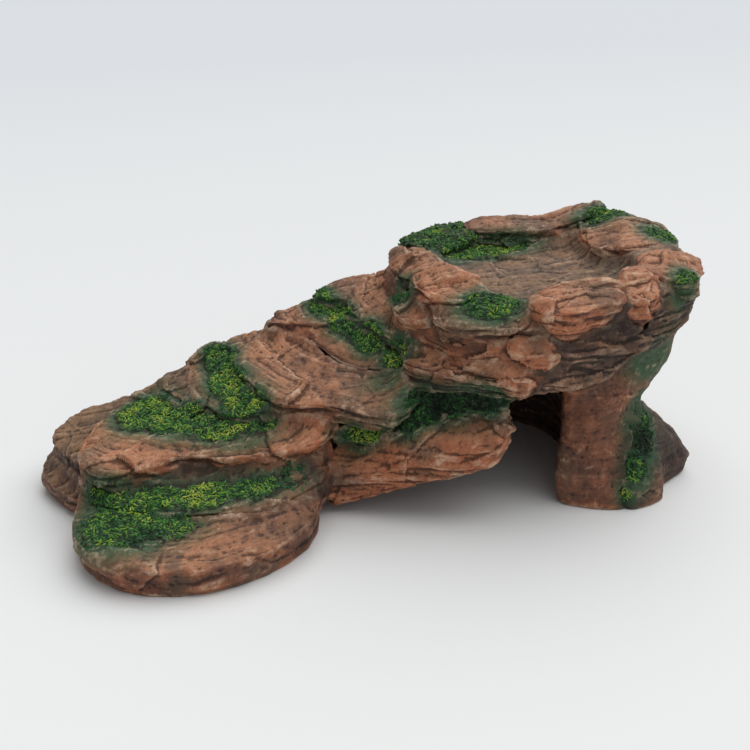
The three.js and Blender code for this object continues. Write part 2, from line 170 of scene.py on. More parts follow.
# %% List the moss patches
MOSS_PATCHES = [  # x, y, z, radius x, radius y, radius z in mm, thickness, yellow
    (-107, -26, 14, 19, 17, 7, 1.0, 0.1),
    (-90, -33, 14, 14, 9, 6, 0.7, 0.1),
    (-111, -11, 19, 11, 9, 7, 1.0, 0.5),
    (-93, -18, 18, 14, 9, 6, 1.0, 0.4),
    (-75, -22, 18, 15, 9, 6, 1.1, 0.7),
    (-57, -24, 19, 14, 8, 6, 0.9, 0.3),
    (-42, -24, 20, 10, 8, 6, 0.6, 0.0),
    (-91, 24, 34, 15, 15, 7, 1.1, 0.4),
    (-79, 10, 35, 14, 12, 7, 1.2, 0.3),
    (-64, 0, 35, 16, 9, 6, 1.1, 0.5),
    (-50, -5, 36, 9, 6, 5, 0.7, 0.2),
    (-58, 36, 48, 9, 14, 8, 1.1, 0.1),
    (-58, 19, 45, 10, 14, 8, 1.2, 0.4),
    (-54, 4, 42, 12, 9, 7, 1.1, 0.4),
    (-13, 40, 66, 7, 12, 8, 1.1, 0.3),
    (-8, 25, 63, 7, 12, 8, 1.1, 0.3),
    (-1, 10, 60, 8, 10, 8, 1.1, 0.4),
    (8, -3, 56, 9, 9, 8, 1.2, 0.8),
    (13, 10, 78, 8, 10, 7, 0.9, 0.2),
    (-9, -15, 31, 13, 7, 8, 1.0, 0.5),
    (10, -22, 37, 16, 7, 8, 1.1, -0.2),
    (28, -28, 42, 13, 6, 8, 1.0, -0.3),
    (14, -24, 44, 15, 10, 9, 1.1, -0.8),
    (30, -33, 49, 11, 9, 8, 1.1, -1.0),
    (37, -22, 81, 14, 11, 7, 1.2, 0.1),
    (46, 32, 85, 14, 9, 6, 1.0, 0.3),
    (64, 31, 85, 18, 8, 6, 1.1, 0.6),
    (112, 29, 94, 13, 8, 7, 1.1, 0.3),
    (125, 5, 91, 9, 10, 7, 1.1, 0.2),
    (115, -33, 84, 7, 8, 9, 1.1, 0.1),
    (101, -36, 33, 7, 8, 8, 0.9, 0.6),
    (97, -42, 24, 8, 9, 12, 0.95, -0.7),
    (92, -46, 13, 7, 8, 11, 0.9, -0.2),
    (87, -48, 4, 5, 7, 7, 0.9, 1.1),
]
# Soft green-brown sprayed zones, wider than the moss: centre, radii and strength.
SPRAYED_GREEN = [
    (106, -34, 55, 24, 18, 18, 1.1), (112, -34, 40, 12, 14, 20, 0.7),
    (0, -10, 50, 18, 12, 10, 0.8), (-62, -10, 33, 34, 10, 8, 0.8),
    (-40, 0, 40, 16, 12, 10, 0.6), (20, -30, 44, 26, 14, 16, 0.8),
    (60, 30, 84, 36, 16, 8, 0.7), (-85, -30, 15, 34, 14, 8, 0.6),
    (118, 20, 92, 18, 22, 8, 0.5),
]
# Painted shade, where shade falls: the cave's front, the pillar and its foot.
PAINTED_SHADE_ZONES = [
    (75, -45, 30, 26, 20, 36, 0.45), (116, -36, 12, 24, 26, 26, 0.9),
    (20, -24, 52, 26, 16, 10, 0.6), (60, -24, 28, 9, 26, 40, 1.0),
    (-38, -44, 10, 26, 14, 16, 0.7), (-30, -24, 18, 16, 14, 12, 0.8),
    (95, -40, 62, 34, 16, 8, 0.6), (-75, -12, 21, 40, 8, 4, 0.8),
]
print("moss patches:", len(MOSS_PATCHES))

# %% [markdown]
# ## From CAD stone to cast stone
# A CAD stone is a closed form of flat triangles. A real casting is soft in its corners, because
# a brush of silicone took the mould from modelling clay. So each stone is copied, its triangles
# are joined, it swells by less than half a millimetre so that it melts into its neighbours, and a
# voxel remesh gives it an even skin of small faces that can carry weathering.

# %% Make the even skins
SWELL = 0.42 * MM
WELD = 0.001 * MM
SKIN_FACE = 0.68 * MM  # edge of one face
MOST_TRIANGLES = 185000  # in one stone
TRIANGLES_PER_CELL = 2.7  # a slanting skin cuts more voxels than a level one
SOFT_ROUNDS = 4  # of smoothing
SOFTER = {"front_pillar": 45, "pillar_foot": 24, "front_foot_rock": 16, "rear_foot_low": 16}


def only(thing):
    """Selects one object and nothing else, and makes it the active one."""
    bpy.ops.object.select_all(action="DESELECT")
    thing.select_set(True)
    bpy.context.view_layer.objects.active = thing


def apply_all(thing):
    """Applies every modifier on an object, from the top down."""
    only(thing)
    for name in [m.name for m in thing.modifiers]:
        bpy.ops.object.modifier_apply(modifier=name)


def cast_skin(name):
    """Copies a CAD stone into a new object with an even skin, and returns it."""
    stone = bpy.data.objects.new(name + "_cast", nodes[name].data.copy())
    bpy.context.collection.objects.link(stone)
    only(stone)
    bpy.ops.object.mode_set(mode="EDIT")
    bpy.ops.mesh.select_all(action="SELECT")
    bpy.ops.mesh.remove_doubles(threshold=WELD)
    bpy.ops.object.mode_set(mode="OBJECT")
    area = sum(face.area for face in stone.data.polygons)
    swell = stone.modifiers.new("swell", "DISPLACE")
    swell.strength, swell.mid_level = SWELL, 0.0
    skin = stone.modifiers.new("even skin", "REMESH")
    skin.mode = "VOXEL"
    skin.voxel_size = max(SKIN_FACE, math.sqrt(area * TRIANGLES_PER_CELL / MOST_TRIANGLES))
    soft = stone.modifiers.new("soft corners", "SMOOTH")
    soft.iterations = SOFTER.get(name, SOFT_ROUNDS)
    apply_all(stone)
    stone.data.materials.clear()
    bpy.ops.object.shade_smooth()
    return stone


stones = {name: cast_skin(name) for name in nodes}
print("faces in the skins:", sum(len(s.data.polygons) for s in stones.values()))

# %% [markdown]
# ## The clay behind the stones
# The real stones were cut into one lump of clay, so the corner between two of them is a soft
# curve and not a slit. To find those curves, all stones are joined once, remeshed as one body and
# smoothed. The body is only a gauge: later each skin grows out to it in the corners. It is
# deleted when the stones are carved.

# %% Make the clay gauge
GAUGE_FACE = 1.4 * MM
GAUGE_ROUNDS = 10  # of smoothing
CLOSING = 4.6 * MM  # the body swells and shrinks by this, which closes narrow slits


def joined_copy(names):
    """Joins copies of several stones into one new object, and returns it."""
    bpy.ops.object.select_all(action="DESELECT")
    copies = []
    for name in names:
        copy = stones[name].copy()
        copy.data = stones[name].data.copy()
        copy.parent = None
        bpy.context.collection.objects.link(copy)
        copy.select_set(True)
        copies.append(copy)
    bpy.context.view_layer.objects.active = copies[0]
    bpy.ops.object.join()
    return bpy.context.object


clay = joined_copy(nodes)
clay.name = "clay_gauge"
for grow in (0.0, CLOSING, -CLOSING):
    if grow:
        thicker = clay.modifiers.new("thicker or thinner", "DISPLACE")
        thicker.strength, thicker.mid_level = grow, 0.0
    one = clay.modifiers.new("one body", "REMESH")
    one.mode, one.voxel_size = "VOXEL", GAUGE_FACE
soft = clay.modifiers.new("soft corners", "SMOOTH")
soft.iterations = GAUGE_ROUNDS
apply_all(clay)
print("faces in the clay gauge:", len(clay.data.polygons))

# %% [markdown]
# ## Moss, spray and painted shade as numbers on the skin
# A painter decides where the moss goes before the rock is painted. Here each point of the skin
# gets a number for moss, one for yellow tips, one for the green spray around it, and one for
# painted shade where shade falls. They come from the patches above, so the same numbers steer
# the shape, the paint and the grains.

# %% Write moss, halo, yellow and painted shade on every skin
MOSS_EDGE = 2.2  # how steeply moss thickens inside its patch
HALO_EDGE, HALO_REACH = 1.1, 0.85  # the spray fades slower, and begins outside the patch
SPRAY_EDGE = 1.5
SHADE_ZONE_EDGE = 1.6


def patch_amount(points, x, y, z, rx, ry, rz):
    """1 at the centre of an ellipsoid, 0 on its surface, and negative outside."""
    scaled = (points - np.array((x, y, z))) / np.array((rx, ry, rz))
    return 1.0 - np.sqrt((scaled ** 2).sum(axis=1))


def write_number(mesh, name, values):
    """Stores one number on each point of a mesh."""
    slot = mesh.attributes.get(name) or mesh.attributes.new(name, "FLOAT", "POINT")
    slot.data.foreach_set("value", values.astype(np.float32))


def points_of(mesh):
    """The points of a mesh in millimetres."""
    flat = np.empty(len(mesh.vertices) * 3, np.float32)
    mesh.vertices.foreach_get("co", flat)
    return flat.reshape(-1, 3) / MM


mossy = 0
for name, stone in stones.items():
    points = points_of(stone.data)
    moss, halo, yellow, painted_shade = (np.zeros(len(points)) for _ in range(4))
    for *ball, thick, tips in MOSS_PATCHES:
        inside = patch_amount(points, *ball)
        amount = thick * np.clip(inside * MOSS_EDGE, 0, 1)
        yellow = np.where(amount > moss, tips * np.minimum(amount, 1), yellow)
        moss = np.maximum(moss, amount)
        reach = np.clip(inside * HALO_EDGE + HALO_REACH, 0, 1)
        halo = np.maximum(halo, min(thick, 1) * reach)
    for *ball, strength in SPRAYED_GREEN:
        amount = np.clip(patch_amount(points, *ball) * SPRAY_EDGE, 0, 1)
        halo = np.maximum(halo, strength * amount)
    # painted shade: the zones where shade falls get a darker colour
    for *ball, strength in PAINTED_SHADE_ZONES:
        amount = np.clip(patch_amount(points, *ball) * SHADE_ZONE_EDGE, 0, 1)
        painted_shade = np.maximum(painted_shade, strength * amount)
    if name == "rim_back_moss_stone":  # mossy all over
        moss, halo = np.maximum(moss, 0.62), np.maximum(halo, 0.8)
    if name == "end_wall":  # in the shade of the cave
        painted_shade = np.maximum(painted_shade, 0.6)
    for label, values in (("moss", moss), ("halo", halo), ("yellow", yellow), ("painted_shade", painted_shade)):
        write_number(stone.data, label, values)
    mossy += moss.max() > 0.5
print("stones with moss:", mossy)

# %% [markdown]
# ## Weathering the stones
# Sandstone weathers along its layers: soft bands wear back on the steep faces, hard bands stand
# out, flakes break off, and rain leaves fine sweeping ridges on the tops. A sculptor cuts these
# with a knife and a wire brush. Geometry Nodes can do the same to every point: each kind of wear
# is one pattern with its real size in millimetres, and the sum moves the skin along its normal.

# %% Build the weathering group
WANDER, WANDER_STEP = (9, 9, 6), 26  # mm, how far patterns bend, and over what distance
LUMPS = ((30, 2.4), (10, 0.8))  # mm across and mm high
CHIPS = (((40, 26, 13), 0.06), ((16, 10, 5), 0.03))  # mm of each side, and tilt
BEDS = (  # mm thick, mm deep, and the noise values of soft and of hard
    (8.0, 1.5, 0.42, 0.58), (3.6, 0.9, 0.40, 0.58), (1.8, 0.25, 0.34, 0.66),
)
BED_LENGTH = 30  # mm
SWEEPS = ((7.0, 60, 0.7), (3.2, 40, 0.3), (1.7, 30, 0.1))  # mm across, mm along and mm deep
PIT_SPACING, PIT_DEPTH, PIT_SHARE = 5.5, 0.45, 0.14  # mm, mm, and share of cells
ROUGH_SIZE, ROUGH_DEPTH = 5.0, 0.42  # mm
CORNER_FILL = 7.0  # mm, the most that a corner is filled
LONGEST_RAY = 60.0  # mm, to tell a buried point from an open one
FILL_ROUNDS = 8  # of blur
TUFT_SIZE, TUFT_LOW, TUFT_HIGH = 2.6, -0.4, 1.0  # mm
RELIEF_ROUNDS, FORM_ROUNDS = 4, 40  # of blur, for fine and for broad shape


def weathering_group():
    """A Geometry Nodes group that carves layers, flakes, sweeps and pits into a skin."""
    tree = bpy.data.node_groups.new("weathered sandstone", "GeometryNodeTree")
    for label, kind in (("Geometry", "Geometry"), ("Sweep centre", "Vector"),
                        ("Layer normal", "Vector"), ("Layers", "Float"), ("Rest", "Object"),
                        ("Clay", "Object")):
        tree.interface.new_socket(label, in_out="INPUT", socket_type="NodeSocket" + kind)
    tree.interface.new_socket("Geometry", in_out="OUTPUT", socket_type="NodeSocketGeometry")
    inputs = tree.nodes.new("NodeGroupInput").outputs
    at = put(tree, "ShaderNodeVectorMath", {0: put(tree, "GeometryNodeInputPosition"),
             "Scale": 1 / MM}, operation="SCALE")
    normal = put(tree, "GeometryNodeInputNormal")
    facing_up = put(tree, "ShaderNodeSeparateXYZ", {0: normal}, out=2)
    steepness = put(tree, "ShaderNodeMath", {0: facing_up}, operation="ABSOLUTE")
    steep = put(tree, "ShaderNodeMapRange", {"Value": steepness, "From Min": 0.35,
                "From Max": 0.78, "To Min": 1.0, "To Max": 0.0}, **SMOOTH)
    top = put(tree, "ShaderNodeMapRange", {"Value": facing_up, "From Min": 0.45,
              "From Max": 0.8}, **SMOOTH)

    # a slow warp bends every pattern, because nothing in rock is straight
    wander = put(tree, "ShaderNodeTexNoise", {"Vector": at, "Scale": 1 / WANDER_STEP,
                 "Detail": 2.0}, out=1)
    wander = put(tree, "ShaderNodeVectorMath", {0: wander, 1: (0.5, 0.5, 0.5)},
                 operation="SUBTRACT")
    bent = put(tree, "ShaderNodeVectorMath", {0: wander, 1: WANDER, 2: at},
               operation="MULTIPLY_ADD")

    # lumps: broad swellings and dents, as clay has
    lumps = []
    for size, depth in LUMPS:
        noise = put(tree, "ShaderNodeTexNoise", {"Vector": at, "Scale": 1 / size, "Detail": 1.0})
        lumps.append(put(tree, "ShaderNodeMapRange", {"Value": noise, "To Min": -depth / 2,
                     "To Max": depth / 2}))

    # flakes: each cell is a flat chip with its own tilt
    chips = []
    for size, tilt in CHIPS:
        spaced = put(tree, "ShaderNodeVectorMath", {0: bent, 1: [1 / v for v in size]},
                     operation="MULTIPLY")
        cell = put(tree, "ShaderNodeTexVoronoi", {"Vector": spaced, "Scale": 1.0})
        away = put(tree, "ShaderNodeVectorMath", {0: spaced, 1: cell.node.outputs["Position"]},
                   operation="SUBTRACT")
        away = put(tree, "ShaderNodeVectorMath", {0: away, 1: size}, operation="MULTIPLY")
        lean = put(tree, "ShaderNodeVectorMath", {0: cell.node.outputs["Color"],
                   1: (0.5, 0.5, 0.5)}, operation="SUBTRACT")
        flat = put(tree, "ShaderNodeVectorMath", {0: away, 1: lean}, out=1,
                   operation="DOT_PRODUCT")
        chips.append(put(tree, "ShaderNodeMath", {0: flat, 1: 2 * tilt}, operation="MULTIPLY"))
    chip_sum = put(tree, "ShaderNodeMath", {0: chips[0], 1: chips[1]}, operation="ADD")
    chip_sum = put(tree, "ShaderNodeMath", {0: chip_sum, 1: inputs["Layers"]},
                   operation="MULTIPLY")

    # layers: noise that is squeezed across the bedding, on steep faces only
    height = put(tree, "ShaderNodeVectorMath", {0: bent, 1: inputs["Layer normal"]}, out=1,
                 operation="DOT_PRODUCT")
    flat_parts = put(tree, "ShaderNodeSeparateXYZ", {0: bent}).node.outputs
    presence = put(tree, "ShaderNodeTexNoise", {"Vector": bent, "Scale": 1 / 16, "Detail": 1.0})
    presence = put(tree, "ShaderNodeMapRange", {"Value": presence, "From Min": 0.32,
                   "From Max": 0.6, "To Min": 0.35, "To Max": 1.0})
    beds = []
    for thickness, depth, low, high in BEDS:
        lens = put(tree, "ShaderNodeCombineXYZ", {0: flat_parts[0], 1: flat_parts[1], 2: height})
        lens = put(tree, "ShaderNodeVectorMath", {0: lens, 1: (1 / BED_LENGTH, 1 / BED_LENGTH,
                   1 / thickness)}, operation="MULTIPLY")
        band = put(tree, "ShaderNodeTexNoise", {"Vector": lens, "Scale": 1.0, "Detail": 1.0})
        beds.append(put(tree, "ShaderNodeMapRange", {"Value": band, "From Min": low,
                    "From Max": high, "To Min": -depth, "To Max": depth * 0.4}, **SMOOTH))
    layer_sum = beds[0]
    for bed in beds[1:]:
        layer_sum = put(tree, "ShaderNodeMath", {0: layer_sum, 1: bed}, operation="ADD")
    for share in (presence, steep, inputs["Layers"]):
        layer_sum = put(tree, "ShaderNodeMath", {0: layer_sum, 1: share}, operation="MULTIPLY")

    # sweeps: ridges that run round a centre, as a wire brush leaves them
    arm = put(tree, "ShaderNodeVectorMath", {0: at, 1: inputs["Sweep centre"]},
              operation="SUBTRACT")
    arm_parts = put(tree, "ShaderNodeSeparateXYZ", {0: arm}).node.outputs
    flat_arm = put(tree, "ShaderNodeCombineXYZ", {0: arm_parts[0], 1: arm_parts[1]})
    radius = put(tree, "ShaderNodeVectorMath", {0: flat_arm}, out=1, operation="LENGTH")
    angle = put(tree, "ShaderNodeMath", {0: arm_parts[1], 1: arm_parts[0]}, operation="ARCTAN2")
    arc = put(tree, "ShaderNodeMath", {0: angle, 1: radius}, operation="MULTIPLY")
    ease = put(tree, "ShaderNodeTexNoise", {"Vector": at, "Scale": 1 / 14, "Detail": 2.0})
    radius_bent = put(tree, "ShaderNodeMath", {0: ease, 1: 5.0, 2: radius},
                      operation="MULTIPLY_ADD")
    sweep = put(tree, "ShaderNodeCombineXYZ", {0: radius_bent, 1: arc, 2: arm_parts[2]})
    ridges = []
    for across, along, depth in SWEEPS:
        spaced = put(tree, "ShaderNodeVectorMath", {0: sweep, 1: (1 / across, 1 / along, 0.06)},
                     operation="MULTIPLY")
        noise = put(tree, "ShaderNodeTexNoise", {"Vector": spaced, "Scale": 1.0, "Detail": 1.0,
                    "Distortion": 0.5})
        ridges.append(put(tree, "ShaderNodeMapRange", {"Value": noise, "From Min": 0.3,
                      "From Max": 0.7, "To Min": -depth, "To Max": depth * 0.6}))
    ridge_sum = ridges[0]
    for ridge in ridges[1:]:
        ridge_sum = put(tree, "ShaderNodeMath", {0: ridge_sum, 1: ridge}, operation="ADD")
    ridge_sum = put(tree, "ShaderNodeMath", {0: ridge_sum, 1: top}, operation="MULTIPLY")

    # pits where a pebble fell out
    hole = put(tree, "ShaderNodeTexVoronoi", {"Vector": bent, "Scale": 1 / PIT_SPACING})
    few = put(tree, "ShaderNodeSeparateXYZ", {0: hole.node.outputs["Color"]})
    few = put(tree, "ShaderNodeMath", {0: few, 1: 1 - PIT_SHARE}, operation="GREATER_THAN")
    pits = put(tree, "ShaderNodeMapRange", {"Value": hole, "From Min": 0.04, "From Max": 0.16,
               "To Min": -PIT_DEPTH, "To Max": 0.0}, **SMOOTH)
    pits = put(tree, "ShaderNodeMath", {0: pits, 1: few}, operation="MULTIPLY")

    # rough grain of the stone
    rough = put(tree, "ShaderNodeTexNoise", {"Vector": bent, "Scale": 1 / ROUGH_SIZE,
                "Detail": 3.0, "Roughness": 0.55})
    rough = put(tree, "ShaderNodeMapRange", {"Value": rough, "From Min": 0.25, "From Max": 0.75,
                "To Min": -ROUGH_DEPTH, "To Max": ROUGH_DEPTH})

    # soft corners: where the clay gauge lies outside the skin, the skin grows out to it
    clay_body = put(tree, "GeometryNodeObjectInfo", {"Object": inputs["Clay"]}, out=4)
    ray = put(tree, "GeometryNodeRaycast", {"Target Geometry": clay_body,
              "Ray Direction": normal, "Ray Length": LONGEST_RAY * MM})
    outward = put(tree, "ShaderNodeVectorMath", {0: ray.node.outputs["Hit Normal"], 1: normal},
                  out=1, operation="DOT_PRODUCT")
    inside = put(tree, "ShaderNodeMath", {0: outward, 1: 0.1}, operation="GREATER_THAN")
    away = put(tree, "ShaderNodeMath", {0: ray.node.outputs["Hit Distance"], 1: 1 / MM},
               operation="MULTIPLY")
    near_clay = put(tree, "ShaderNodeMath", {0: away, 1: CORNER_FILL}, operation="LESS_THAN")
    not_under = put(tree, "ShaderNodeMapRange", {"Value": facing_up, "From Min": -0.6,
                    "From Max": -0.1}, **SMOOTH)
    fill = away
    for share in (inside, near_clay, not_under):
        fill = put(tree, "ShaderNodeMath", {0: fill, 1: share}, operation="MULTIPLY")

    # a point buried between two stones has no answer of its own and takes its neighbours' fill
    buried = put(tree, "ShaderNodeMath", {0: 1.0, 1: near_clay}, operation="SUBTRACT")
    buried = put(tree, "ShaderNodeMath", {0: buried, 1: inside}, operation="MULTIPLY")
    counted = put(tree, "ShaderNodeMath", {0: 1.0, 1: buried}, operation="SUBTRACT")
    fill, counted = [put(tree, "GeometryNodeBlurAttribute", {"Value": value,
                     "Iterations": FILL_ROUNDS}) for value in (fill, counted)]
    counted = put(tree, "ShaderNodeMath", {0: counted, 1: 0.08}, operation="MAXIMUM")
    fill = put(tree, "ShaderNodeMath", {0: fill, 1: counted}, operation="DIVIDE")

    total = lumps[0]
    for more in (lumps[1], chip_sum, layer_sum, ridge_sum, pits, rough, fill):
        total = put(tree, "ShaderNodeMath", {0: total, 1: more}, operation="ADD")

    # under moss the rock is smoother, and the moss itself stands proud in small tufts
    moss = put(tree, "GeometryNodeInputNamedAttribute", {"Name": "moss"})
    edge_noise = put(tree, "ShaderNodeTexNoise", {"Vector": at, "Scale": 1 / 7, "Detail": 4.0,
                     "Roughness": 0.7})
    moss = put(tree, "ShaderNodeMath", {0: edge_noise, 1: 1.5, 2: moss}, operation="MULTIPLY_ADD")
    reach = put(tree, "ShaderNodeMapRange", {"Value": facing_up, "From Min": -0.35,
                "From Max": 0.25}, **SMOOTH)
    moss = put(tree, "ShaderNodeMapRange", {"Value": moss, "From Min": 1.02, "From Max": 1.5},
               **SMOOTH)
    moss = put(tree, "ShaderNodeMath", {0: moss, 1: reach}, operation="MULTIPLY")
    tufts = put(tree, "ShaderNodeTexNoise", {"Vector": at, "Scale": 1 / TUFT_SIZE,
                "Detail": 2.0})
    tufts = put(tree, "ShaderNodeMapRange", {"Value": tufts, "From Min": 0.3, "From Max": 0.7,
                "To Min": TUFT_LOW, "To Max": TUFT_HIGH})
    bare = put(tree, "ShaderNodeMapRange", {"Value": moss, "To Min": 1.0, "To Max": 0.35})
    total = put(tree, "ShaderNodeMath", {0: total, 1: bare}, operation="MULTIPLY")
    total = put(tree, "ShaderNodeMath", {0: tufts, 1: moss, 2: total}, operation="MULTIPLY_ADD")

    # the rim that stands on the floor stays as it was cut, so nothing frays there
    height_now = put(tree, "ShaderNodeSeparateXYZ", {0: at}, out=2)
    free = put(tree, "ShaderNodeMapRange", {"Value": height_now, "From Min": 0.3,
               "From Max": 4.0, "To Min": 0.1}, **SMOOTH)
    total = put(tree, "ShaderNodeMath", {0: total, 1: free}, operation="MULTIPLY")

    step = put(tree, "ShaderNodeMath", {0: total, 1: MM}, operation="MULTIPLY")
    offset = put(tree, "ShaderNodeVectorMath", {0: normal, "Scale": step}, operation="SCALE")
    moved = inputs["Geometry"]
    for name, value, kind in (("moss", moss, "FLOAT"), ("sweep", sweep, "FLOAT_VECTOR")):
        moved = put(tree, "GeometryNodeStoreNamedAttribute", {"Geometry": moved, "Name": name,
                    "Value": value}, data_type=kind)
    moved = put(tree, "GeometryNodeSetPosition", {"Geometry": moved, "Offset": offset})

    # nothing sinks through the floor
    here = put(tree, "GeometryNodeInputPosition")
    stand = put(tree, "ShaderNodeVectorMath", {0: here, 1: (-9, -9, 0)}, operation="MAXIMUM")
    moved = put(tree, "GeometryNodeSetPosition", {"Geometry": moved, "Position": stand})

    # relief: how far a point stands out of, or lies under, its own surroundings, in mm
    for name, rounds in (("relief", RELIEF_ROUNDS), ("form", FORM_ROUNDS)):
        around = put(tree, "GeometryNodeBlurAttribute", {"Value": here, "Iterations": rounds},
                     data_type="FLOAT_VECTOR")
        rise = put(tree, "ShaderNodeVectorMath", {0: here, 1: around}, operation="SUBTRACT")
        rise = put(tree, "ShaderNodeVectorMath", {0: rise, 1: normal}, out=1,
                   operation="DOT_PRODUCT")
        rise = put(tree, "ShaderNodeMath", {0: rise, 1: 1 / MM}, operation="MULTIPLY")
        moved = put(tree, "GeometryNodeStoreNamedAttribute", {"Geometry": moved, "Name": name,
                    "Value": rise})

    # up: 1 on tops and 0 on sides, over a few millimetres
    level = put(tree, "GeometryNodeBlurAttribute", {"Value": facing_up, "Iterations": 8})
    level = put(tree, "ShaderNodeMapRange", {"Value": level, "From Min": 0.3, "From Max": 0.85},
                **SMOOTH)

    # gap: how far the next stone is, in mm, and joint: how dark the wash and painted shade run
    # beside it
    rest = put(tree, "GeometryNodeObjectInfo", {"Object": inputs["Rest"]}, out=4)
    near = put(tree, "GeometryNodeProximity", {0: rest}, out=1, target_element="FACES")
    near = put(tree, "ShaderNodeMath", {0: near, 1: 1 / MM}, operation="MULTIPLY")
    joint = put(tree, "ShaderNodeMapRange", {"Value": near, "From Min": 0.6, "From Max": 4.5,
                "To Min": 1.0, "To Max": 0.0}, **SMOOTH)
    # painted shade: faces that look down under an overhang get more of it
    shade_under_overhangs = put(tree, "ShaderNodeMapRange", {"Value": facing_up, "From Min": -0.2,
                    "From Max": 0.8, "To Min": 1.0, "To Max": 0.25})
    joint = put(tree, "ShaderNodeMath", {0: joint, 1: shade_under_overhangs}, operation="MULTIPLY")
    for name, value in (("up", level), ("gap", near), ("joint", joint)):
        moved = put(tree, "GeometryNodeStoreNamedAttribute", {"Geometry": moved, "Name": name,
                    "Value": value})
    end = tree.nodes.new("NodeGroupOutput")
    tree.links.new(moved, end.inputs[0])
    return tree


weathering = weathering_group()
print("nodes in the weathering group:", len(weathering.nodes))

# %% [markdown]
# ## Carving each stone
# The sweeps on each top run round that stone's own centre, and all the bedding leans a little.
# The neighbours of a stone are joined into a helper object for a moment, to measure how close
# they are, and deleted again.

# %% Carve all stones
SWEEP_CENTRES = {  # mm; where none is given, a point behind the stone's middle
    "ramp_slab_4": (10, 40, 40), "ramp_slab_1": (-60, 60, 30), "ramp_slab_3": (-20, 45, 40),
    "ramp_slab_5": (30, 45, 50), "ramp_slab_7": (50, 30, 60), "deck_base": (60, 300, 60),
    "front_foot_rock": (-75, 50, 0), "front_foot_ledge": (-75, 50, 0),
    "rim_front_stone": (90, 120, 60), "ramp_lip": (40, 60, 0),
}
LAYERS = {  # how deep the bedding is cut, against the deck's 1
    "front_foot_rock": 0.45, "front_foot_ledge": 0.7, "front_pillar": 0.1, "pillar_foot": 0.3,
    "ramp_lip": 0.7, "end_wall": 0.6, "rear_wall": 0.6, "rear_foot_low": 0.6,
}
UP = (0.05, 0.02, 1.0)  # across the bedding
REACH = 6 * MM  # farther stones aren't neighbours


def neighbours_of(name):
    """One throwaway object with every CAD stone that comes near this one."""
    low, high = (Vector(corner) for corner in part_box(name))
    points, faces = [], []
    for other, node in nodes.items():
        low2, high2 = (Vector(corner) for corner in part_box(other))
        apart = any(low[i] - REACH > high2[i] or low2[i] - REACH > high[i] for i in range(3))
        if other == name or apart:
            continue
        start = len(points)
        points += [v.co[:] for v in node.data.vertices]
        faces += [[start + i for i in face.vertices] for face in node.data.polygons]
    mesh = bpy.data.meshes.new("neighbours")
    mesh.from_pydata(points, [], faces)
    rest = bpy.data.objects.new("neighbours", mesh)
    bpy.context.collection.objects.link(rest)
    return rest


sockets = {item.name: item.identifier for item in weathering.interface.items_tree
           if item.in_out == "INPUT"}
for name, stone in stones.items():
    low, high = (np.array(corner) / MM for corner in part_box(name))
    middle = (low + high) / 2
    centre = SWEEP_CENTRES.get(name, (middle[0] + 5, middle[1] + 45, middle[2]))
    rest = neighbours_of(name)
    carve = stone.modifiers.new("weathering", "NODES")
    carve.node_group = weathering
    carve[sockets["Sweep centre"]] = [float(v) for v in centre]
    carve[sockets["Layer normal"]] = UP
    carve[sockets["Layers"]] = LAYERS.get(name, 1.0)
    carve[sockets["Rest"]] = rest
    carve[sockets["Clay"]] = clay
    apply_all(stone)
    bpy.data.objects.remove(rest)
bpy.data.objects.remove(clay)
print("carved stones:", len(stones))

# %% [markdown]
# ## The painted resin
# Polyester resin filled with stone powder is cast in one colour, sprayed red-brown and orange,
# dry-brushed with tan so that only the ridges catch it, and glazed with a dark wash that stays in
# the hollows. The result is matt with a slight satin where the sealer lies thick.
# The relief numbers tell the material where a hollow or a ridge is, as a brush would feel it.
# Besides the real coats, the material paints shade on steep sides, in the joints and where the
# cave and pillar are in shade, and paints light on the tops.

# %% Mix the rock paints
CLOUD_SIZE, DULL_SIZE, PATCH_SIZE = 20 * MM, 22 * MM, 6.0 * MM  # of three kinds of unevenness
SPRAY_SIZE, FLECK_SIZE = 3.5 * MM, 1.6 * MM
GRIT_SIZE = 0.7 * MM  # stone powder is finer, but would not show
STREAKS = ((3.4, 60), (1.2, 44))  # mm across and mm along
BUMP_HEIGHT = 0.45 * MM
DULL_BROWN = paint("#5f5040")
DEEP_GREEN = paint("#2c5a3a")
UNDER_MOSS = paint("#0c170b"), paint("#20401f")  # in its pits and on its tufts


